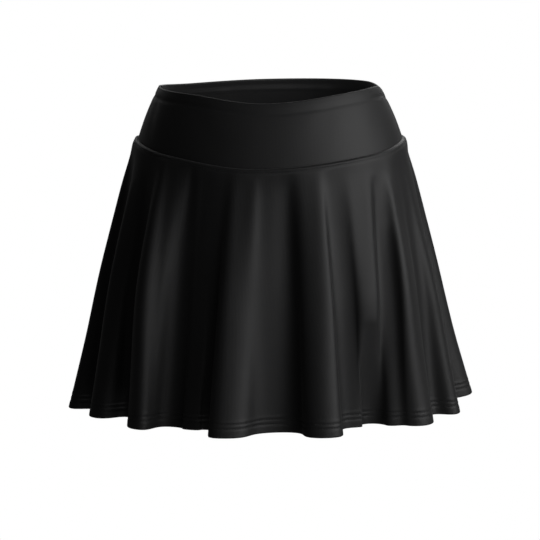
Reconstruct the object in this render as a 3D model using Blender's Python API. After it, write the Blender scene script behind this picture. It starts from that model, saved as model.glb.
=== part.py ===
"""A flared tennis skort, filled out as if worn: a contoured waistband, a circle-cut skirt and inner shorts.

Metres, +Z up. The wearer faces -Y, and the wearer's left is +X. The origin is the middle of the waist
opening, level with the rim at the sides. Angles are in degrees round the garment: 0 at the wearer's left
side, 90 at the centre back, 180 at the right side and 270 at the centre front. Sizes and tables are in
millimetres.
"""

import math
from collections import namedtuple

import bmesh
import bpy
from mathutils import Vector

MM = 0.001
SEAM_GAP = 0.3  # between two pieces at a seam
SQUARENESS = 2.15  # exponent of the body's rings: 2 would be an ellipse

# Waistband, outside sizes: half width along X and half depth along Y
RIM_HALF = (120.5, 92.0)
YOKE_HALF = (143.5, 110.0)
YOKE_BULGE = 1.6  # how far the band's middle stands out from a straight line
YOKE_DROP = 56.0  # from the rim to the yoke seam at the sides
WAISTBAND_WALL = 2.4  # two layers of knit

# Skirt, outside sizes. The hem half sizes are those of the ring that the flutes swing about.
HEM_HALF = (206.0, 147.0)
SKIRT_LENGTH = 300.0  # from the yoke seam at the sides to the hem
SKIRT_WALL = 1.2
SKIRT_STEP = 0.8  # the skirt's seam allowance pushes it out from the band

# Inner shorts
SHORTS_WALL = 1.2
SHORTS_TOP_HALF = (142.7, 109.2)  # just inside the skirt, under the waistband
SHORTS_UNDER_BAND = 1.0  # from the seam line to the shorts' top edge, clear of the band's slanting edge
SHORTS_HIP_HALF = (153.0, 112.0)
SHORTS_HIP_DROP = 140.0
SHORTS_CROTCH_DROP = 245.0
SHORTS_HEM_DROP = 318.0
LEG_CENTRE = 82.0  # from the middle plane to the middle of a leg
LEG_HALF = (77.0, 86.0)
BLOCK_SIZE = (400.0, 400.0, 500.0)  # of the block that cuts a leg along the rise seam

# Mesh steps: about 9,000 triangles in all
STEPS_PER_FOLD = 5
SKIRT_ROWS = 9
WAISTBAND_ROWS = 4
WAISTBAND_COLUMNS = 45  # once round, so that both side seams fall on a column
SHORTS_ROWS = 8
SHORTS_COLUMNS = 28

# How the rim, the hem and the yoke seam rise and fall: (angle, height above their level)
RIM_HEIGHTS = ((0, -3), (30, 1), (90, -1), (135, -3.5), (180, 0), (225, -2), (266, -10), (315, 0), (340, 3))
HEM_HEIGHTS = ((0, 3), (15, 8), (30, 3), (90, 0), (180, 0), (270, 0), (345, 0))
YOKE_HEIGHTS = ((0, 1), (90, -5), (180, 0), (225, -11), (263, -21), (315, -10))

# How far the skirt has flared: (share of its length, share of the flare)
FLARE = ((0, 0), (0.012, 0.07), (0.07, 0.12), (0.16, 0.22), (0.28, 0.34), (0.5, 0.56), (0.75, 0.77), (1, 1))

# The crests and valleys of the flutes, in turn round the garment: the angle of each, how far it stands out
# from the skirt's rings halfway down and at the hem, how far it has leaned along the hem, and how far its
# flanks curl under there
Fold = namedtuple("Fold", "angle halfway hem lean curl")
FOLD_ROWS = (
    # angle, halfway, hem, lean, curl
    (13, 9, 24, 0, 3),
    (26, -7, -20, 0, 3),
    (38, 5, 14, 3, 3),
    (48, -6, -16, 0, 3),
    (60, 8, 17, -3, 4),
    (73, -8, -22, 0, 3),
    (83, 4, 12, 2, 3),
    (92, -4, -12, 0, 3),
    (104, 8, 18, 4, 4),
    (117, -8, -21, 0, 4),
    (128, 5, 12, -3, 3),
    (139, -6, -16, 0, 3),
    (156, 7, 15, 0, 3),
    (174, -9, -20, 0, 3),
    (183, 8, 16, 0, 3),
    (191, -6, -14, 0, 3),
    (203, 2, 0, 0, 3),
    (215, -10, -32, 0, 3),
    (225, 8, 3, 9, 3),
    (238, -8, -19, 0, 3),
    (245, -5, -14, 0, 2),
    (251, -8, -20, 0, 3),
    (257, 7, 18, -6, 6),
    (273, -6, -13, 0, 5),
    (285, 7, 17, 4, 6),
    (297, -6, -24, 0, 4),
    (307, 0, -28, -10, 2),
    (318, -4, -14, -14, 2),
    (326, 4, 5, -12, 3),
    (336, -7, -20, 0, 3),
    (346, 4, 6, 0, 3),
    (358, -9, -25, 0, 3),
)
FOLDS = [Fold(*row) for row in FOLD_ROWS]

# The side seams lie in two of those valleys
RIGHT_SEAM = 174
LEFT_SEAM = 358

OUTER_COLOUR = (0.012, 0.012, 0.013, 1.0)  # black knit
LINER_COLOUR = (0.016, 0.016, 0.017, 1.0)


def clear_scene():
    for item in list(bpy.data.objects):
        bpy.data.objects.remove(item, do_unlink=True)


def fabric(name, colour, roughness):
    material = bpy.data.materials.new(name)
    material.use_nodes = True
    shader = material.node_tree.nodes["Principled BSDF"]
    shader.inputs["Base Color"].default_value = colour
    shader.inputs["Roughness"].default_value = roughness
    shader.inputs["Metallic"].default_value = 0.0
    return material


def mix(start, end, share):
    return start + (end - start) * share


def curve_at(rows, place):
    """The height of a smooth curve through (place, height) rows, which never overshoots them."""
    places = [row[0] for row in rows]
    index = max(1, min(len(rows) - 1, sum(place > start for start in places)))
    steps = [(b[1] - a[1]) / (b[0] - a[0]) for a, b in zip(rows, rows[1:])]

    def slope(knot):
        if knot in (0, len(rows) - 1):
            return steps[0] if knot == 0 else steps[-1]
        before, after = steps[knot - 1], steps[knot]
        return 0.0 if before * after <= 0 else 2 * before * after / (before + after)

    (x0, y0), (x1, y1) = rows[index - 1], rows[index]
    width = x1 - x0
    share = (place - x0) / width
    rise = share * share * (3 - 2 * share)
    lead = share * (1 - share) ** 2 * width
    lag = -share * share * (1 - share) * width
    return mix(y0, y1, rise) + slope(index - 1) * lead + slope(index) * lag


def round_curve_at(rows, degrees):
    """The same for a table that goes once round the garment."""
    before = (rows[-1][0] - 360, rows[-1][1])
    after = [(angle + 360, height) for angle, height in rows[:2]]
    return curve_at([before, *rows, *after], degrees % 360)


def ring(half, degrees):
    """The point of a body ring at an angle, and the outward and the onward direction there, in plan."""
    along, across = math.cos(math.radians(degrees)), math.sin(math.radians(degrees))
    size = (abs(along) ** SQUARENESS + abs(across) ** SQUARENESS) ** (1 / SQUARENESS)
    along, across = along / size, across / size
    steep_x = math.copysign(abs(along) ** (SQUARENESS - 1), along) / half[0]
    steep_y = math.copysign(abs(across) ** (SQUARENESS - 1), across) / half[1]
    outward = Vector((steep_x, steep_y)).normalized()
    return Vector((half[0] * along, half[1] * across)), outward, Vector((-outward.y, outward.x))


def mixed_half(start, end, share):
    return tuple(mix(a, b, share) for a, b in zip(start, end))


def rim_height(degrees):
    return round_curve_at(RIM_HEIGHTS, degrees)


def yoke_height(degrees):
    return round_curve_at(YOKE_HEIGHTS, degrees) - YOKE_DROP


def waistband_surface(column, share):
    """The band's outside, at a column counted from the right side seam, from the rim (0) to the seam (1)."""
    degrees = RIGHT_SEAM + 360 * column / WAISTBAND_COLUMNS
    place, outward, _ = ring(mixed_half(RIM_HALF, YOKE_HALF, share), degrees)
    place += outward * YOKE_BULGE * math.sin(math.pi * share)
    return Vector((*place, mix(rim_height(degrees), yoke_height(degrees) + SEAM_GAP / 2, share)))


def fold_at(start, end, part, share):
    """How far out and how far along the cloth lies, part of the way from one fold to the next."""
    swing = (1 - math.cos(math.pi * part)) / 2
    out = [curve_at(((0, 0), (0.5, fold.halfway), (1, fold.hem)), share) for fold in (start, end)]
    curl = mix(start.curl, end.curl, swing) * math.sin(2 * math.pi * part)
    return mix(out[0], out[1], swing), (mix(start.lean, end.lean, swing) + curl) * share


def skirt_surface(column, share):
    """The skirt's outside, at a column counted from the first fold, and from the seam (0) to the hem (1)."""
    turns, place = divmod(column / STEPS_PER_FOLD, len(FOLDS))
    index = int(place)
    start, end = FOLDS[index], FOLDS[(index + 1) % len(FOLDS)]
    last = end.angle + (360 if end is FOLDS[0] else 0)
    degrees = mix(start.angle, last, place - index) + 360 * turns
    point, outward, onward = ring(mixed_half(YOKE_HALF, HEM_HALF, curve_at(FLARE, share)), degrees)
    out, along = fold_at(start, end, place - index, share)
    point += outward * (SKIRT_STEP + out) + onward * along
    top = yoke_height(degrees) - SEAM_GAP / 2
    hem = round_curve_at(HEM_HEIGHTS, degrees) - YOKE_DROP - SKIRT_LENGTH
    return Vector((*point, mix(top, hem, share)))


def frame_at(surface, column, share):
    """A surface's point at a column and a share down it, with its outward and its onward direction."""
    step = 0.01
    onward = surface(column + step, share) - surface(column - step, share)
    upward = surface(column, share - step) - surface(column, share + step)
    return surface(column, share), onward.cross(upward).normalized(), onward.normalized()


def grid(form, columns, rows, place_at):
    """A grid of faces whose points are placed by place_at(column, share down)."""
    points = bmesh.ops.create_grid(form, x_segments=columns, y_segments=rows, size=0.5)["verts"]
    for point in points:
        point.co = place_at(round((point.co.x + 0.5) * columns), 0.5 - point.co.y) * MM


def cloth_object(name, form, material):
    mesh = bpy.data.meshes.new(name)
    form.to_mesh(mesh)
    form.free()
    mesh.shade_smooth()
    mesh.materials.append(material)
    body = bpy.data.objects.new(name, mesh)
    bpy.context.scene.collection.objects.link(body)
    return body


def cloth_piece(name, surface, first, last, rows, wall, material):
    """The stretch of a surface between two columns, as a closed wall with its outside on the surface."""
    columns = last - first
    form = bmesh.new()
    for depth in (0.0, wall):

        def place_at(column, share, depth=depth):
            place, outward, onward = frame_at(surface, first + column, share)
            if column in (0, columns):
                place += onward * (SEAM_GAP / 2 if column == 0 else -SEAM_GAP / 2)
            return place - outward * depth

        grid(form, columns, rows, place_at)
    bmesh.ops.bridge_loops(form, edges=[edge for edge in form.edges if edge.is_boundary])
    bmesh.ops.recalc_face_normals(form, faces=form.faces)
    return cloth_object(name, form, material)


def leg_ring(drop, top):
    """Half sizes and centre of a leg of the shorts at a drop below the rim: the hips' ring, then the leg's."""
    if drop <= SHORTS_HIP_DROP:
        share = (drop - top) / (SHORTS_HIP_DROP - top)
        return mixed_half(SHORTS_TOP_HALF, SHORTS_HIP_HALF, math.sin(share * math.pi / 2)), 0.0
    share = (drop - SHORTS_HIP_DROP) / (SHORTS_HEM_DROP - SHORTS_HIP_DROP)
    split = min(1.0, (drop - SHORTS_HIP_DROP) / (SHORTS_CROTCH_DROP - SHORTS_HIP_DROP))
    outer = mix(SHORTS_HIP_HALF[0], LEG_CENTRE + LEG_HALF[0], share)
    inner = mix(-SHORTS_HIP_HALF[0], LEG_CENTRE - LEG_HALF[0], math.sin(split * math.pi / 2))
    return ((outer - inner) / 2, mix(SHORTS_HIP_HALF[1], LEG_HALF[1], share)), (outer + inner) / 2


def shorts_leg(name, side, material):
    """One leg of the shorts, a tube that is cut along the rise seam. Side is 1 for the wearer's left."""

    def place_at(column, share):
        degrees = 180 + 360 * column / SHORTS_COLUMNS
        top = SHORTS_UNDER_BAND - yoke_height(degrees if side > 0 else 180 - degrees)
        drop = mix(top, SHORTS_HEM_DROP, share)
        half, centre = leg_ring(drop, top)
        place, _, _ = ring(half, degrees)
        return Vector((side * (place.x + centre), place.y, -drop))

    form = bmesh.new()
    grid(form, SHORTS_COLUMNS, SHORTS_ROWS, place_at)
    bmesh.ops.remove_doubles(form, verts=form.verts, dist=0.01 * MM)
    if side < 0:
        bmesh.ops.reverse_faces(form, faces=form.faces)
    leg = cloth_object(name, form, material)
    thick = leg.modifiers.new("Wall", "SOLIDIFY")
    thick.thickness = SHORTS_WALL * MM
    thick.offset = -1.0
    cut = leg.modifiers.new("Rise seam", "BOOLEAN")
    cut.operation = "DIFFERENCE"
    cut.object = other_side_block(name + "_cutter", side)


def other_side_block(name, side):
    """A block that holds everything on the far side of the rise seam."""
    width, depth, height = BLOCK_SIZE
    mesh = bpy.data.meshes.new(name)
    form = bmesh.new()
    bmesh.ops.create_cube(form, size=1.0)
    bmesh.ops.scale(form, vec=Vector((width, depth, height)) * MM, verts=form.verts)
    middle = Vector((-side * (width - SEAM_GAP) / 2, 0, -height / 2))
    bmesh.ops.translate(form, vec=middle * MM, verts=form.verts)
    form.to_mesh(mesh)
    form.free()
    block = bpy.data.objects.new(name, mesh)
    bpy.context.scene.collection.objects.link(block)
    block.hide_render = True
    block.display_type = "WIRE"
    return block


def main():
    clear_scene()
    outer = fabric("Black interlock knit", OUTER_COLOUR, 0.62)
    liner = fabric("Black jersey knit", LINER_COLOUR, 0.7)
    angles = [fold.angle for fold in FOLDS]
    right = angles.index(RIGHT_SEAM) * STEPS_PER_FOLD
    left = angles.index(LEFT_SEAM) * STEPS_PER_FOLD
    once_round = len(angles) * STEPS_PER_FOLD
    cloth_piece("skirt_front", skirt_surface, right, left, SKIRT_ROWS, SKIRT_WALL, outer)
    cloth_piece("skirt_back", skirt_surface, left, right + once_round, SKIRT_ROWS, SKIRT_WALL, outer)
    half = WAISTBAND_COLUMNS * (LEFT_SEAM - RIGHT_SEAM) // 360
    for name, first, last in (("waistband_front", 0, half), ("waistband_back", half, WAISTBAND_COLUMNS)):
        cloth_piece(name, waistband_surface, first, last, WAISTBAND_ROWS, WAISTBAND_WALL, outer)
    shorts_leg("shorts_left", 1, liner)
    shorts_leg("shorts_right", -1, liner)


main()
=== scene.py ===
"""The flared tennis skort in its finished look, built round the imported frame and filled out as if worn.

Sizes and tables are in millimetres, as in the part's source, and MM turns them to metres at the last step.
The wearer faces -Y and the wearer's left is +X. Angles are in degrees round the garment: 0 at the wearer's
left side, 90 at the centre back, 180 at the right side and 270 at the centre front.
"""

import math
from collections import namedtuple

import bmesh
import bpy
import numpy as np
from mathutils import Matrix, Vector


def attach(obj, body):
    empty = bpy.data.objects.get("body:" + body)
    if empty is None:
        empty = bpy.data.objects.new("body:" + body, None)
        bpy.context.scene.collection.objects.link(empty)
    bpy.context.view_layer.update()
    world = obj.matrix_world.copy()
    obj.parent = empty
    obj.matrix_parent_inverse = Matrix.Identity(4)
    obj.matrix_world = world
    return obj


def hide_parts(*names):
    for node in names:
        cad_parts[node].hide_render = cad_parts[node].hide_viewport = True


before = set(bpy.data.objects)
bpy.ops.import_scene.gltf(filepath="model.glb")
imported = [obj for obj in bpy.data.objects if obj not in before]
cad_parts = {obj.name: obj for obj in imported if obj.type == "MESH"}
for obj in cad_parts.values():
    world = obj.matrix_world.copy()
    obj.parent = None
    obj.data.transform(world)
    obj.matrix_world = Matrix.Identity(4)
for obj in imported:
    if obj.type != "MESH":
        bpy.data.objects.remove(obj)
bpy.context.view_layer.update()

MM = 0.001

# ---- The garment's form, as the part has it ----

SQUARENESS = 2.15  # exponent of the body's rings: 2 would be an ellipse
RIM_HALF = (120.5, 92.0)
YOKE_HALF = (143.5, 110.0)
YOKE_BULGE = 1.6
YOKE_DROP = 56.0
HEM_HALF = (206.0, 147.0)
SKIRT_LENGTH = 300.0
SKIRT_STEP = 0.8
SHORTS_TOP_HALF = (142.7, 109.2)
SHORTS_UNDER_BAND = 1.0
SHORTS_HIP_HALF = (153.0, 112.0)
SHORTS_HIP_DROP = 140.0
SHORTS_CROTCH_DROP = 245.0
SHORTS_HEM_DROP = 318.0
LEG_CENTRE = 82.0
LEG_HALF = (77.0, 86.0)

# How the rim, the hem and the yoke seam rise and fall: (angle, height above their level)
RIM_HEIGHTS = ((0, -3), (30, 1), (90, -1), (135, -3.5), (180, 0), (225, -2), (266, -10), (315, 0), (340, 3))
HEM_HEIGHTS = ((0, 3), (15, 8), (30, 3), (90, 0), (180, 0), (270, 0), (345, 0))
YOKE_HEIGHTS = ((0, 1), (90, -5), (180, 0), (225, -11), (263, -21), (315, -10))

# How far the skirt has flared: (share of its length, share of the flare)
FLARE = ((0, 0), (0.012, 0.07), (0.07, 0.12), (0.16, 0.22), (0.28, 0.34), (0.5, 0.56), (0.75, 0.77), (1, 1))

# The flutes' crests and valleys, in turn round the garment
FOLDS = np.array(
    (
        # angle, halfway, hem, lean, curl
        (13, 9, 24, 0, 3),
        (26, -7, -20, 0, 3),
        (38, 5, 14, 3, 3),
        (48, -6, -16, 0, 3),
        (60, 8, 17, -3, 4),
        (73, -8, -22, 0, 3),
        (83, 4, 12, 2, 3),
        (92, -4, -12, 0, 3),
        (104, 8, 18, 4, 4),
        (117, -8, -21, 0, 4),
        (128, 5, 12, -3, 3),
        (139, -6, -16, 0, 3),
        (156, 7, 15, 0, 3),
        (174, -9, -20, 0, 3),
        (183, 8, 16, 0, 3),
        (191, -6, -14, 0, 3),
        (203, 2, 0, 0, 3),
        (215, -10, -32, 0, 3),
        (225, 8, 3, 9, 3),
        (238, -8, -19, 0, 3),
        (245, -5, -14, 0, 2),
        (251, -8, -20, 0, 3),
        (257, 7, 18, -6, 6),
        (273, -6, -13, 0, 5),
        (285, 7, 17, 4, 6),
        (297, -6, -24, 0, 4),
        (307, 0, -28, -10, 2),
        (318, -4, -14, -14, 2),
        (326, 4, 5, -12, 3),
        (336, -7, -20, 0, 3),
        (346, 4, 6, 0, 3),
        (358, -9, -25, 0, 3),
    ),
    float,
)
ANGLE, HALFWAY, HEM, LEAN, CURL = range(5)
RIGHT_SEAM, LEFT_SEAM = 174, 358

# ---- Creases, each listed one by one ----

# Angle at its top and how far on its foot has drifted, in degrees; where it starts and fades, as shares of
# the piece's height (past 1 it runs off the hem); how far it stands out (a trough is negative) and its half
# width at the middle; and how much steeper its onward flank is than the other, from -1 to 1
Crease = namedtuple("Crease", "angle drift top foot height width slant")
CREASE_RISE = 0.7  # under 1, a crease is at its fullest above the middle of its run
CREASE_SPREAD = (0.7, 1.2)  # its width at its top and at its foot, as shares of the width given
CREASE_SKEW = 0.55  # how much a slant of 1 narrows one flank and widens the other
SKIRT_CREASES = (
    # front
    Crease(202, 1, 0.12, 1.40, 3.4, 9, 0.3),
    Crease(212, 1, 0.08, 1.30, -3.4, 10, 0.0),
    Crease(223, 6, 0.01, 1.60, 9.0, 12, 0.6),
    Crease(237, 2, 0.02, 1.50, -5.0, 13, 0.0),
    Crease(237, 0, 0.01, 0.30, -1.4, 5, 0.0),
    Crease(243, 1, 0.02, 1.10, -3.0, 11, -0.3),
    Crease(253, 0, 0.03, 1.20, 3.6, 16, -0.2),
    Crease(264, -1, 0.03, 0.50, 1.6, 9, 0.3),
    Crease(277, -1, 0.02, 1.30, -5.2, 12, 0.2),
    Crease(290, -5, 0.02, 1.30, 4.4, 10, 0.4),
    Crease(302, -2, 0.05, 1.20, 2.6, 13, 0.0),
    Crease(313, -6, 0.05, 0.80, 2.4, 12, 0.5),
    Crease(316, -6, 0.08, 1.30, -5.0, 12, -0.2),
    Crease(323, -4, 0.25, 1.70, 7.0, 14, 0.0),
    Crease(307, 0, 0.60, 1.60, -6.0, 16, 0.0),
    Crease(324, -1, 0.08, 0.90, 2.6, 8, 0.2),
    Crease(345, 2, 0.08, 0.60, -1.4, 10, 0.0),
    Crease(194, -2, 0.06, 0.90, -2.4, 9, 0.0),
    Crease(186, 0, 0.05, 0.70, 1.8, 10, 0.0),
    # back
    Crease(8, 2, 0.05, 0.80, 2.6, 11, 0.3),
    Crease(21, 3, 0.03, 1.00, -3.0, 10, -0.3),
    Crease(34, 2, 0.05, 0.70, 2.2, 12, 0.0),
    Crease(45, 1, 0.02, 0.90, -2.8, 9, 0.3),
    Crease(58, 2, 0.04, 1.10, 3.2, 12, -0.4),
    Crease(70, 2, 0.03, 1.00, -3.4, 11, 0.0),
    Crease(81, 1, 0.08, 0.60, 1.8, 9, 0.0),
    Crease(94, -2, 0.02, 0.80, -2.4, 9, 0.3),
    Crease(103, 1, 0.04, 1.10, 3.0, 13, 0.4),
    Crease(115, 2, 0.03, 1.00, -3.6, 11, -0.3),
    Crease(126, 2, 0.06, 0.70, 2.0, 10, 0.0),
    Crease(137, 2, 0.02, 0.90, -2.6, 9, 0.0),
    Crease(152, 4, 0.05, 1.00, 2.8, 14, 0.3),
    Crease(166, 3, 0.04, 0.90, -2.2, 10, 0.0),
)
BAND_CREASES = (
    Crease(232, 14, 0.10, 0.90, -0.4, 14, 0.0),
    Crease(300, -10, 0.15, 0.80, -0.3, 14, 0.0),
    Crease(330, -8, 0.20, 1.00, -0.3, 12, 0.0),
    Crease(198, 8, 0.10, 1.00, -0.8, 9, 0.0),
    Crease(60, 8, 0.10, 0.95, -0.8, 10, 0.0),
    Crease(115, -10, 0.15, 0.90, -0.7, 11, 0.0),
    Crease(20, 6, 0.20, 1.00, 0.6, 9, 0.0),
    Crease(160, -5, 0.10, 0.80, 0.6, 9, 0.0),
)
LEG_CREASES = (
    Crease(60, -20, 0.30, 0.90, -1.8, 12, 0.0),
    Crease(-62, 22, 0.28, 0.85, -1.6, 12, 0.0),
    Crease(30, 10, 0.50, 1.05, 1.4, 13, 0.0),
    Crease(-24, -12, 0.45, 1.10, -1.5, 11, 0.0),
    Crease(120, -16, 0.72, 1.05, -1.6, 10, 0.0),
    Crease(-118, 14, 0.70, 1.00, -1.4, 10, 0.0),
    Crease(4, -3, 0.10, 0.60, -0.9, 12, 0.0),
)

# ---- Seams and hems ----

BAND_WALL, SKIRT_WALL, SHORTS_WALL = 2.4, 1.2, 1.2
TURN_UP = 18.0  # height of the turned hem
TURN_UP_SWELL = (0.35, 0.8)  # how far the turned hem stands out, and how softly that begins
TURN_UP_WALL = (0.9, 1.0, 0.4)  # how much the turned hem adds to the wall, how much lower, and how softly
BAND_TUCK = 0.022  # share of its height by which the band runs on behind the skirt's top edge
FACING_LINE = 6.0  # inside, from the rim to the edge of the elastic
FACING_GROOVE = (0.5, 0.9)  # depth and half width of the step that its edge makes
CASING = 12.0  # from the rim to the line of stitches under the elastic
ELASTIC_SWELL = (0.2, CASING / 2.6)  # height and half width of the swell over the elastic
CASING_GROOVE = (0.45, 2.4)  # the same for the soft valley under it
# Runs of stitches: how far each lies below the piece's top edge or, where negative, above its bottom edge
SKIRT_LINES = (5.6, -9.6, -14.4)  # under the yoke seam, and the twin needles of the hem
LEG_LINES = (-12.0, -16.8)
STITCH_GROOVE = (0.45, 1.5)  # depth and half width of the groove that a line of stitches pulls in
SEAM_GROOVE = (0.55, 1.1)  # the same for the valley where two pieces meet
ALLOWANCE = (0.55, 2.6, 1.7)  # the ridge over a seam allowance: height, distance from the seam, half width
STITCH_LENGTH, STITCH_PITCH, THREAD = 2.1, 2.9, 0.42
THREAD_LIFT = 0.1  # how far a thread's middle stands out of its groove
SEAM_LAP = 0.35  # share of the wall by which the two edges of a sewn seam run into each other
CROTCH_LAP = 1.6  # how much more, as a share of that, they do so at the crotch, where the walls lean together
FINEST_STEP = 0.35  # rows and columns come no closer than this, apart from those of a rounded edge


def mix(start, end, share):
    return start + (end - start) * share


def curve_at(rows, place):
    """The height of a smooth curve through (place, height) rows, which never overshoots them."""
    places, heights = np.array(rows, float).T
    steps = np.diff(heights) / np.diff(places)
    slopes = np.concatenate([steps[:1], np.zeros(len(steps) - 1), steps[-1:]])
    before, after = steps[:-1], steps[1:]
    rising = before * after > 0
    slopes[1:-1][rising] = 2 * before[rising] * after[rising] / (before[rising] + after[rising])
    last = np.clip(np.searchsorted(places, place), 1, len(places) - 1)
    first = last - 1
    width = places[last] - places[first]
    share = (place - places[first]) / width
    rise = share * share * (3 - 2 * share)
    lead = share * (1 - share) ** 2 * width
    lag = -share * share * (1 - share) * width
    return mix(heights[first], heights[last], rise) + slopes[first] * lead + slopes[last] * lag


def round_curve_at(rows, degrees):
    """The same for a table that goes once round the garment."""
    before = (rows[-1][0] - 360, rows[-1][1])
    after = [(angle + 360, height) for angle, height in rows[:2]]
    return curve_at([before, *rows, *after], np.mod(degrees, 360))


def ring(half, degrees):
    """Points of body rings at some angles, and the outward and the onward direction there, in plan."""
    along, across = np.cos(np.radians(degrees)), np.sin(np.radians(degrees))
    size = (np.abs(along) ** SQUARENESS + np.abs(across) ** SQUARENESS) ** (1 / SQUARENESS)
    along, across = along / size, across / size
    steep = [
        np.copysign(np.abs(part) ** (SQUARENESS - 1), part) / radius
        for part, radius in ((along, half[0]), (across, half[1]))
    ]
    outward = np.stack(steep, -1) / np.hypot(*steep)[..., None]
    onward = np.stack([-outward[..., 1], outward[..., 0]], -1)
    return np.stack([half[0] * along, half[1] * across], -1), outward, onward


def mixed_half(start, end, share):
    return tuple(mix(a, b, share) for a, b in zip(start, end))


def yoke_height(degrees):
    return round_curve_at(YOKE_HEIGHTS, degrees) - YOKE_DROP


def with_height(plan, height):
    return np.concatenate([plan, np.broadcast_to(height, plan.shape[:2])[..., None]], -1)


def waistband_surface(degrees, share):
    """The band's outside: a row for each share down it and a column for each angle."""
    down = share[:, None]
    place, outward, _ = ring(mixed_half(RIM_HALF, YOKE_HALF, down), degrees[None, :])
    place = place + outward * (YOKE_BULGE * np.sin(np.pi * down))[..., None]
    rim = round_curve_at(RIM_HEIGHTS, degrees)
    return with_height(place, mix(rim, yoke_height(degrees), down))


def skirt_surface(degrees, share):
    """The skirt's outside, with its flutes."""
    down = share[:, None]
    first_angle = FOLDS[0, ANGLE]
    turned = np.mod(degrees - first_angle, 360) + first_angle
    start = np.searchsorted(FOLDS[:, ANGLE], turned, side="right") - 1
    end = (start + 1) % len(FOLDS)
    last = FOLDS[end, ANGLE] + np.where(end == 0, 360, 0)
    part = (turned - FOLDS[start, ANGLE]) / (last - FOLDS[start, ANGLE])
    swing = (1 - np.cos(np.pi * part)) / 2
    swings = np.array([curve_at(((0, 0), (0.5, fold[HALFWAY]), (1, fold[HEM])), share) for fold in FOLDS]).T
    out = mix(swings[:, start], swings[:, end], swing)
    curl = mix(FOLDS[start, CURL], FOLDS[end, CURL], swing) * np.sin(2 * np.pi * part)
    along = (mix(FOLDS[start, LEAN], FOLDS[end, LEAN], swing) + curl) * down
    place, outward, onward = ring(mixed_half(YOKE_HALF, HEM_HALF, curve_at(FLARE, down)), degrees[None, :])
    place = place + outward * (SKIRT_STEP + out)[..., None] + onward * along[..., None]
    hem = round_curve_at(HEM_HEIGHTS, degrees) - YOKE_DROP - SKIRT_LENGTH
    return with_height(place, mix(yoke_height(degrees), hem, down))


def leg_surface(side):
    """The outside of one leg of the shorts. Its columns run from -1 to 1, from one edge of the rise seam round
    the leg to the other edge, and both edges meet in the inseam. Side is 1 for the wearer's left."""

    def surface(columns, share):
        down = share[:, None]
        degrees = columns[None, :] * np.ones_like(down) * 90.0
        for _ in range(3):  # the top edge's height and the width of the ring depend on each other
            top = SHORTS_UNDER_BAND - yoke_height(degrees if side > 0 else 180 - degrees)
            drop = mix(top, SHORTS_HEM_DROP, down)
            above = np.clip((drop - top) / (SHORTS_HIP_DROP - top), 0, 1)
            below = np.clip((drop - SHORTS_HIP_DROP) / (SHORTS_HEM_DROP - SHORTS_HIP_DROP), 0, 1)
            split = np.clip((drop - SHORTS_HIP_DROP) / (SHORTS_CROTCH_DROP - SHORTS_HIP_DROP), 0, 1)
            hip = mixed_half(SHORTS_TOP_HALF, SHORTS_HIP_HALF, np.sin(above * np.pi / 2))
            outer = mix(hip[0], LEG_CENTRE + LEG_HALF[0], below)
            lap = SEAM_LAP * SHORTS_WALL * (1 + CROTCH_LAP * split)
            inner = np.minimum(mix(-hip[0], LEG_CENTRE - LEG_HALF[0], np.sin(split * np.pi / 2)), -lap)
            apart = np.clip((drop - SHORTS_CROTCH_DROP) / (SHORTS_HEM_DROP - SHORTS_CROTCH_DROP), 0, 1)
            inner = inner + np.sin(apart * np.pi / 2) * (LEG_CENTRE - LEG_HALF[0] + lap)
            half = (outer - inner) / 2, mix(hip[1], LEG_HALF[1], below)
            centre = (outer + inner) / 2
            reach = np.clip((-lap - centre) / half[0], -1, 1)
            deep = (1 - np.abs(reach) ** SQUARENESS) ** (1 / SQUARENESS)
            degrees = columns[None, :] * np.degrees(np.arctan2(deep, reach))
        place, _, _ = ring(half, degrees)
        place = np.stack([side * (place[..., 0] + centre), place[..., 1]], -1)
        return with_height(place, -drop)

    return surface


def lengths(points, axis):
    """How far along the cloth each point lies from the first of its row or column."""
    steps = np.linalg.norm(np.diff(points, axis=axis), axis=-1)
    start = np.zeros_like(np.take(steps, [0], axis=axis))
    return np.concatenate([start, np.cumsum(steps, axis=axis)], axis=axis)


def outward_at(points):
    """The outward direction at each point of a sheet whose columns run onwards and whose rows run down."""
    onward, downward = np.gradient(points, axis=1), np.gradient(points, axis=0)
    normal = np.cross(downward, onward)
    return normal / np.maximum(np.linalg.norm(normal, axis=-1), 1e-9)[..., None]


def bump(distance, width):
    return np.exp(-((distance / width) ** 2))


def crease_relief(creases, points, degrees, share):
    """How far the creases move each point of a sheet out."""
    across = lengths(points, 1)
    relief = np.zeros(points.shape[:2])
    for crease in creases:
        place = (share - crease.top) / (crease.foot - crease.top)
        within = (place > 0) & (place < 1)
        strength = np.where(within, np.sin(np.pi * np.clip(place, 0, 1) ** CREASE_RISE), 0)
        for row in np.flatnonzero(strength > 0):
            spacing = across[row, -1] / (degrees[-1] - degrees[0])
            from_middle = degrees - crease.angle - crease.drift * place[row]
            away = (np.mod(from_middle + 180, 360) - 180) * spacing
            width = crease.width * mix(*CREASE_SPREAD, place[row])
            skew = CREASE_SKEW * crease.slant
            widths = np.where(away > 0, width * (1 - skew), width * (1 + skew))
            relief[row] += crease.height * strength[row] * bump(away, widths)
    return relief


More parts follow.
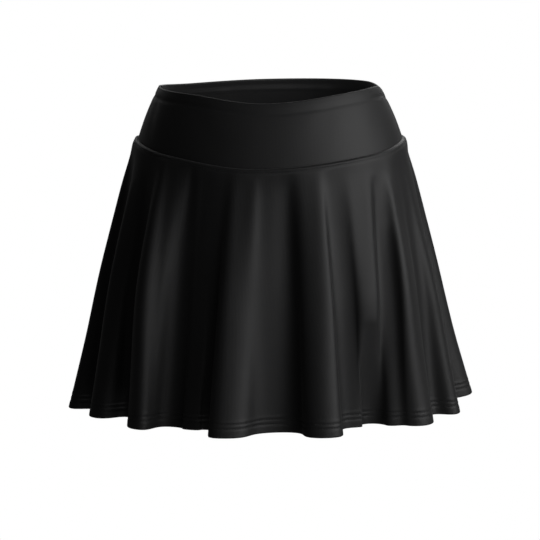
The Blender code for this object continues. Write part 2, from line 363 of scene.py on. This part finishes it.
def seam_relief(down, edges, lines, turn_up, casing):
    """Grooves, ridges and the thickness of turned cloth near a sheet's seams, hems and edges."""
    depth, half = STITCH_GROOVE
    up = down[-1:] - down
    relief = np.zeros_like(down)
    for line in lines:
        relief -= depth * bump((down - line) if line > 0 else (up + line), half)
    for edge in edges:
        relief += ALLOWANCE[0] * bump(edge - ALLOWANCE[1], ALLOWANCE[2])
        relief -= SEAM_GROOVE[0] * bump(edge, SEAM_GROOVE[1])
    if turn_up:
        relief += TURN_UP_SWELL[0] / (1 + np.exp((up - TURN_UP) / TURN_UP_SWELL[1]))
    if casing:
        relief += ELASTIC_SWELL[0] * bump(down - CASING / 2, ELASTIC_SWELL[1])
        relief -= CASING_GROOVE[0] * bump(down - CASING, CASING_GROOVE[1])
    return relief


def stations(total, step, fine):
    """Places from 0 to total about a step apart, and closer at the fine zones."""
    places = set(np.linspace(0, total, max(2, round(total / step) + 1)))
    for start, end, pitch in fine:
        places |= set(np.arange(start, end, pitch))
    ordered = [0.0]
    for place in sorted(places):
        if place - ordered[-1] > FINEST_STEP and total - place > 0.2:
            ordered.append(float(place))
    return np.array([*ordered, total])


def rounded(wall, total):
    """Places next to both edges at which the wall's rounding has a row."""
    near = [share * wall / 2 for share in (0.15, 0.5, 1.0)]
    return near + [total - place for place in near]


def shell(name, points, outward, wall, closed_columns=None):
    """A closed wall of cloth: outside on the points, inside a wall below them, edges rounded together."""
    across, down = lengths(points, 1), lengths(points, 0)
    nearest = np.minimum(down, down[-1:] - down)
    sides = np.minimum(across, across[:, -1:] - across)
    if closed_columns is not None:  # rows whose two ends meet have no side edges
        sides = np.where(closed_columns[:, None], np.inf, sides)
        shared = outward[closed_columns, 0] + outward[closed_columns, -1]
        shared /= np.linalg.norm(shared, axis=-1)[:, None]
        outward[closed_columns, 0] = outward[closed_columns, -1] = shared
    nearest = np.minimum(nearest, sides)
    radius = np.asarray(wall) / 2
    inset = radius * (1 - np.sqrt(1 - np.clip(1 - nearest / radius, 0, 1) ** 2))
    layers = points - outward * inset[..., None], points - outward * (wall - inset)[..., None]
    rows, columns = points.shape[:2]
    form = bmesh.new()
    knit = form.loops.layers.uv.new("knit")
    for turned, layer in enumerate(layers):
        made = bmesh.ops.create_grid(form, x_segments=columns - 1, y_segments=rows - 1, size=0.5)["verts"]
        spot = {}
        for vert in made:
            column = round((vert.co.x + 0.5) * (columns - 1))
            row = round((0.5 - vert.co.y) * (rows - 1))
            spot[vert] = row, column
            vert.co = Vector(layer[row, column]) * MM
        faces = {face for vert in made for face in vert.link_faces}
        for face in faces:
            for loop in face.loops:
                row, column = spot[loop.vert]
                from_middle = across[row, column] - across[row, columns // 2]
                loop[knit].uv = from_middle * MM, -down[row, column] * MM
        if turned:
            bmesh.ops.reverse_faces(form, faces=list(faces))
    bmesh.ops.remove_doubles(form, verts=form.verts, dist=0.02 * MM)
    bmesh.ops.dissolve_degenerate(form, edges=form.edges, dist=0.005 * MM)
    bmesh.ops.recalc_face_normals(form, faces=form.faces)
    return finished(name, form)


def finished(name, form):
    mesh = bpy.data.meshes.new(name)
    form.to_mesh(mesh)
    form.free()
    mesh.shade_smooth()
    piece = bpy.data.objects.new(name, mesh)
    bpy.context.scene.collection.objects.link(piece)
    return piece


def run_of_stitches(form, path, outward):
    """Short threads laid end to end along a path, each a little sunk into the cloth."""
    steps = np.concatenate([[0], np.cumsum(np.linalg.norm(np.diff(path, axis=0), axis=1))])
    for start in np.arange(1.0, steps[-1] - STITCH_PITCH, STITCH_PITCH):
        ends = [
            np.array([np.interp(place, steps, path[:, axis]) for axis in range(3)])
            for place in (start, start + STITCH_LENGTH)
        ]
        middle = sum(ends) / 2
        half_way = start + STITCH_LENGTH / 2
        lift = np.array([np.interp(half_way, steps, outward[:, axis]) for axis in range(3)])
        onward = Vector(ends[1] - ends[0])
        thread = bmesh.ops.create_icosphere(form, subdivisions=1, radius=0.5)["verts"]
        bmesh.ops.scale(form, vec=Vector((onward.length, THREAD * 1.2, THREAD)), verts=thread)
        along, out = onward.normalized(), Vector(lift).normalized()
        side = out.cross(along).normalized()
        for vert in thread:
            turned = along * vert.co.x + side * vert.co.y + along.cross(side) * vert.co.z
            vert.co = (turned + Vector(middle)) * MM


def stitching(name, points, down, lines):
    """The threads that show along a sheet's lines of stitches."""
    outward = outward_at(points)
    form = bmesh.new()
    for line in lines:
        path, leaning = [], []
        for column in range(points.shape[1]):
            place = line if line > 0 else down[-1, column] + line
            spot = [np.interp(place, down[:, column], points[:, column, axis]) for axis in range(3)]
            lean = [np.interp(place, down[:, column], outward[:, column, axis]) for axis in range(3)]
            path.append(spot)
            leaning.append(lean)
        path, leaning = np.array(path), np.array(leaning)
        run_of_stitches(form, path + leaning * THREAD_LIFT, leaning)
    return finished(name, form)


# ---- Materials ----


def linear(hex_colour):
    """An sRGB hex value as the linear colour that a shader takes."""
    colour = []
    for start in (1, 3, 5):
        part = int(hex_colour[start : start + 2], 16) / 255
        colour.append(part / 12.92 if part <= 0.04045 else ((part + 0.055) / 1.055) ** 2.4)
    return (*colour, 1.0)


def add_node(tree, kind, inputs=None, **settings):
    """A node with its settings; an input is a value or the output that it is linked to."""
    node = tree.nodes.new(kind)
    for name, value in settings.items():
        setattr(node, name, value)
    for name, value in (inputs or {}).items():
        if isinstance(value, bpy.types.NodeSocket):
            tree.links.new(value, node.inputs[name])
        else:
            node.inputs[name].default_value = value
    return node


WAVE_PERIOD = 0.314159  # metres between a Wave texture's bands at scale 1
FIBRE_SCALE = 900.0  # the yarn's unevenness, about a millimetre long
DYE_SCALE = 14.0  # the slow change of tone that dyed cloth has, about 70 mm long
TWIST_SCALE = 1800.0  # the plies of a sewing thread, about half a millimetre long
ROUGHNESS_RANGE = 0.04  # how far the roughness wanders with the tone, either way
LOOP_DEPTH = 0.0001  # metres that the loops of the knit stand out
COURSE_SHARE = 0.45  # how strong the courses are beside the wales
FIBRE_SHARE = 0.5  # how strong the yarn's unevenness is beside the loops
LOOP_SHARE = 0.35  # how much the loops darken and lighten the dyed tone
SHEEN_ROUGHNESS = 0.45  # of the short fuzz on the yarn


def knit_material(name, dark, light, wale, course, roughness, sheen, relief):
    """A knit whose wales and courses follow the cloth, with slow changes of tone as dyed yarn has."""
    material = bpy.data.materials.new(name)
    material.use_nodes = True
    tree = material.node_tree
    shader = tree.nodes["Principled BSDF"]
    cloth = add_node(tree, "ShaderNodeUVMap", uv_map="knit").outputs["UV"]
    place = add_node(tree, "ShaderNodeTexCoord").outputs["Object"]
    stripes = {}
    for direction, pitch in (("X", wale), ("Y", course)):
        settings = {"Vector": cloth, "Scale": WAVE_PERIOD / (pitch * MM), "Distortion": 0.0}
        stripe = add_node(tree, "ShaderNodeTexWave", settings, wave_type="BANDS", bands_direction=direction)
        stripes[direction] = stripe.outputs["Fac"]
    settings = {"Vector": place, "Scale": FIBRE_SCALE, "Detail": 2.0}
    yarn = add_node(tree, "ShaderNodeTexNoise", settings).outputs["Fac"]
    settings = {"Vector": place, "Scale": DYE_SCALE, "Detail": 3.0}
    tone = add_node(tree, "ShaderNodeTexNoise", settings).outputs["Fac"]
    settings = {0: stripes["Y"], 1: COURSE_SHARE, 2: stripes["X"]}
    loops = add_node(tree, "ShaderNodeMath", settings, operation="MULTIPLY_ADD").outputs["Value"]
    settings = {0: yarn, 1: FIBRE_SHARE, 2: loops}
    height = add_node(tree, "ShaderNodeMath", settings, operation="MULTIPLY_ADD").outputs["Value"]
    settings = {0: loops, 1: LOOP_SHARE, 2: tone}
    dye = add_node(tree, "ShaderNodeMath", settings, operation="MULTIPLY_ADD").outputs["Value"]
    settings = {"Factor": dye, "A": linear(dark), "B": linear(light)}
    colour = add_node(tree, "ShaderNodeMix", settings, data_type="RGBA")
    tree.links.new(colour.outputs["Result"], shader.inputs["Base Color"])
    settings = {"Value": tone, "To Min": roughness - ROUGHNESS_RANGE, "To Max": roughness + ROUGHNESS_RANGE}
    lobe = add_node(tree, "ShaderNodeMapRange", settings)
    tree.links.new(lobe.outputs["Result"], shader.inputs["Roughness"])
    settings = {"Height": height, "Strength": relief, "Distance": LOOP_DEPTH}
    raised = add_node(tree, "ShaderNodeBump", settings)
    tree.links.new(raised.outputs["Normal"], shader.inputs["Normal"])
    shader.inputs["Specular IOR Level"].default_value = 0.5
    shader.inputs["IOR"].default_value = 1.5
    shader.inputs["Sheen Weight"].default_value = sheen
    shader.inputs["Sheen Roughness"].default_value = SHEEN_ROUGHNESS
    return material


def thread_material():
    """Polyester sewing thread: twisted and a little glossier than the cloth, so stitches catch the light."""
    material = bpy.data.materials.new("Black twisted polyester thread")
    material.use_nodes = True
    tree = material.node_tree
    shader = tree.nodes["Principled BSDF"]
    place = add_node(tree, "ShaderNodeTexCoord").outputs["Object"]
    settings = {"Vector": place, "Scale": TWIST_SCALE, "Detail": 1.0}
    twist = add_node(tree, "ShaderNodeTexNoise", settings).outputs["Fac"]
    shades = add_node(tree, "ShaderNodeValToRGB", {"Fac": twist})
    for stop, shade in zip(shades.color_ramp.elements, ("#121213", "#232325")):
        stop.color = linear(shade)
    tree.links.new(shades.outputs["Color"], shader.inputs["Base Color"])
    shader.inputs["Roughness"].default_value = 0.42
    return material


# Polyester and elastane interlock, piece dyed black: dense and smooth, it gives the eye a soft satin sheen on
# the crests and near black in the valleys. Real wales are about 0.8 mm apart, too fine to show, so these are
# drawn 1.5 mm apart, with courses 1.1 mm apart.
OUTER_KNIT = knit_material(
    "Black interlock knit", "#0a0a0b", "#141415", wale=1.5, course=1.1, roughness=0.56, sheen=0.12, relief=0.25
)
# Thinner single jersey of the same yarn: a little drier and duller to the eye, its wales drawn coarse as well
SHORTS_KNIT = knit_material(
    "Black single jersey", "#0b0b0c", "#161617", wale=1.3, course=1.0, roughness=0.66, sheen=0.12, relief=0.3
)
THREAD_FINISH = thread_material()


# ---- Pieces ----


def sheet_points(surface, columns, share, creases, angles, lines, seams="", turn_up=False, casing=False):
    """The finished outside of a piece of cloth, and its form's outward direction: form, then creases, then
    seams. The seams named are those that dip, at the sides or the top."""
    beyond = (columns[1] - columns[0]) * np.array([-1, 1])
    wide = surface(np.array([columns[0] + beyond[0], *columns, columns[-1] + beyond[1]]), share)
    points, outward = wide[:, 1:-1], outward_at(wide)[:, 1:-1]
    points = points + outward * crease_relief(creases, points, angles, share)[..., None]
    across, down = lengths(points, 1), lengths(points, 0)
    edges = [across, across[:, -1:] - across] if "sides" in seams else []
    if "top" in seams:
        edges.append(down)
    relief = seam_relief(down, edges, lines, turn_up, casing)
    return points + outward * relief[..., None], outward


def columns_between(first, last, step, radius_mm, wall):
    """Angles from one seam to the next, closer at both ends, where the edge rounds off and the seam dips."""
    degrees_per_mm = 180 / (math.pi * radius_mm)
    lap = wall * SEAM_LAP * degrees_per_mm
    first, last = first - lap, last + lap
    ends = np.array([0, 0.15, 0.5, 1, 2, 4, 6, 8, 10]) * wall / 2 * degrees_per_mm
    middle = np.linspace(first + ends[-1], last - ends[-1], round((last - first) / step))
    return np.concatenate([first + ends[:-1], middle, (last - ends[:-1])[::-1]])


def rows_down(length, step, wall, fine):
    """Shares of a piece's height, closer where its edges round off and at the fine zones, which are a first
    and a last distance down and the step between."""
    near = rounded(wall, length)
    clear = wall * 0.75
    places = [place for place in stations(length, step, fine) if clear < place < length - clear]
    return np.array(sorted([0.0, *near, *places, length])) / length


def register(piece, material, node=None):
    piece.data.materials.append(material)
    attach(piece, "root")
    if node:
        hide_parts(node)


def make_skirt(name, first, last):
    """Half of the skirt, from one side seam to the other, with the threads of its seam and its hem."""
    fine = [(1, 9, 0.8), (SKIRT_LENGTH - 21, SKIRT_LENGTH - 1, 0.9)]
    rows = rows_down(SKIRT_LENGTH, 3.6, SKIRT_WALL, fine)
    degrees = columns_between(first, last, 0.72, 165.0, SKIRT_WALL)
    points, outward = sheet_points(
        skirt_surface, degrees, rows, SKIRT_CREASES, degrees, SKIRT_LINES, seams="sides top", turn_up=True
    )
    down = lengths(points, 0)
    extra, lower, softness = TURN_UP_WALL
    wall = SKIRT_WALL + extra / (1 + np.exp((down[-1:] - down - TURN_UP + lower) / softness))
    piece = shell(name + "_cloth", points, outward, wall)
    register(piece, OUTER_KNIT, name)
    threads = stitching(name + "_stitches", points, down, SKIRT_LINES)
    register(threads, THREAD_FINISH)


def make_band(name, first, last):
    """Half of the waistband, from one side seam to the other, with the elastic's swell inside its top."""
    fine = [(1, 4, 0.6), (9, 18, 0.8), (56, 60, 0.6)]
    rows = rows_down(62.0, 1.6, BAND_WALL, fine) * (1 + BAND_TUCK)
    degrees = columns_between(first, last, 1.2, 125.0, BAND_WALL)
    points, outward = sheet_points(
        waistband_surface, degrees, rows, BAND_CREASES, degrees, (), seams="sides", casing=True
    )
    depth, half = FACING_GROOVE
    wall = BAND_WALL - depth * bump(lengths(points, 0) - FACING_LINE, half)
    piece = shell(name + "_cloth", points, outward, wall)
    register(piece, OUTER_KNIT, name)


def make_leg(name, side):
    """One leg of the shorts with its half of the hips, and the threads of its hem."""
    rows = rows_down(262.0, 3.4, SHORTS_WALL, [(1, 6, 0.8), (162, 180, 0.8), (240, 260, 0.9)])
    columns = np.linspace(-1, 1, 111)
    points, outward = sheet_points(
        leg_surface(side), side * columns, rows, LEG_CREASES, columns * 180, LEG_LINES, turn_up=True
    )
    meeting = np.linalg.norm(points[:, 0] - points[:, -1], axis=1) < SHORTS_WALL / 2
    wall = np.full(points.shape[:2], SHORTS_WALL)
    piece = shell(name + "_cloth", points, outward, wall, closed_columns=meeting)
    register(piece, SHORTS_KNIT, name)
    threads = stitching(name + "_stitches", points, lengths(points, 0), LEG_LINES)
    register(threads, THREAD_FINISH)


make_band("waistband_front", RIGHT_SEAM, LEFT_SEAM)
make_band("waistband_back", LEFT_SEAM, RIGHT_SEAM + 360)
make_skirt("skirt_front", RIGHT_SEAM, LEFT_SEAM)
make_skirt("skirt_back", LEFT_SEAM, RIGHT_SEAM + 360)
make_leg("shorts_left", 1)
make_leg("shorts_right", -1)


# ---- Stage, light and camera ----

FLOOR_HEIGHT = -1.05  # the rim is at a standing wearer's waist
STAGE_RADIUS = 14.0
GARMENT_MIDDLE = Vector((0, 0, -0.18))


def stage_piece(name, form, shade):
    """A piece of the white studio. Only the camera sees it, so it throws no light on the black cloth."""
    piece = finished(name, form)
    paint = bpy.data.materials.new(name + " matt white paint")
    paint.use_nodes = True
    tree = paint.node_tree
    glow = add_node(tree, "ShaderNodeEmission", {"Color": linear(shade), "Strength": 1.0})
    clear = add_node(tree, "ShaderNodeBsdfTransparent")
    behind = add_node(tree, "ShaderNodeNewGeometry").outputs["Backfacing"]
    both = add_node(tree, "ShaderNodeMixShader", {0: behind, 1: glow.outputs[0], 2: clear.outputs[0]})
    tree.links.new(both.outputs[0], tree.nodes["Material Output"].inputs["Surface"])
    piece.data.materials.append(paint)
    for kind in ("diffuse", "glossy", "transmission", "shadow"):
        setattr(piece, "visible_" + kind, False)


def make_stage():
    floor = bmesh.new()
    bmesh.ops.create_circle(floor, cap_ends=True, segments=96, radius=STAGE_RADIUS)
    bmesh.ops.translate(floor, vec=Vector((0, 0, FLOOR_HEIGHT)), verts=floor.verts)
    stage_piece("floor", floor, "#ffffff")
    dome = bmesh.new()
    bmesh.ops.create_uvsphere(dome, u_segments=64, v_segments=32, radius=STAGE_RADIUS)
    bmesh.ops.reverse_faces(dome, faces=dome.faces)
    stage_piece("studio_wall", dome, "#ffffff")


def area_light(name, azimuth, elevation, distance, size, power):
    """A softbox aimed at the garment's middle, its azimuth counted from the front towards the wearer's left."""
    light = bpy.data.lights.new(name, "AREA")
    light.shape = "RECTANGLE"
    light.size, light.size_y = size
    light.energy = power
    lamp = bpy.data.objects.new(name, light)
    bpy.context.scene.collection.objects.link(lamp)
    turn, rise = math.radians(azimuth), math.radians(elevation)
    away = Vector((math.sin(turn) * math.cos(rise), -math.cos(turn) * math.cos(rise), math.sin(rise)))
    lamp.location = GARMENT_MIDDLE + away * distance
    lamp.rotation_euler = away.to_track_quat("Z", "Y").to_euler()
    return lamp


def make_lights():
    # name, azimuth, elevation, distance, size, power
    area_light("key_softbox", 66, 20, 2.2, (1.8, 1.8), 27)
    area_light("front_softbox", 30, 20, 2.6, (1.2, 1.2), 7)
    area_light("back_softbox", 155, 35, 2.4, (1.6, 1.6), 16)
    area_light("back_left_softbox", 205, 30, 2.6, (1.2, 1.6), 5)
    area_light("low_softbox", 20, -50, 2.4, (1.6, 1.6), 4)
    # A small fill lights the band's inside through the waist opening, and nothing but the band's back half
    inside = area_light("inside_softbox", -4, 13, 1.6, (0.4, 0.4), 9)
    lit = bpy.data.collections.new("lit_by_inside_softbox")
    lit.objects.link(bpy.data.objects["waistband_back_cloth"])
    inside.light_linking.receiver_collection = lit
    world = bpy.data.worlds.new("studio air")
    world.use_nodes = True
    air = world.node_tree.nodes["Background"]
    air.inputs["Color"].default_value = linear("#ffffff")
    air.inputs["Strength"].default_value = 0.03
    bpy.context.scene.world = world
    bpy.context.scene.view_settings.view_transform = "Standard"


CAMERA_DISTANCE = 3.0
CAMERA_RISE = 9.5  # degrees above the horizon
CAMERA_AIM = Vector((0, 0, -0.2035))
FIELD_WIDTH = 0.594  # at the camera's distance


def make_camera():
    lens = bpy.data.cameras.new("camera")
    lens.lens = lens.sensor_width * CAMERA_DISTANCE / FIELD_WIDTH
    camera = bpy.data.objects.new("camera", lens)
    bpy.context.scene.collection.objects.link(camera)
    rise = math.radians(CAMERA_RISE)
    camera.location = CAMERA_AIM + Vector((0, -math.cos(rise), math.sin(rise))) * CAMERA_DISTANCE
    camera.rotation_euler = (math.pi / 2 - rise, 0, 0)
    bpy.context.scene.camera = camera


make_stage()
make_lights()
make_camera()
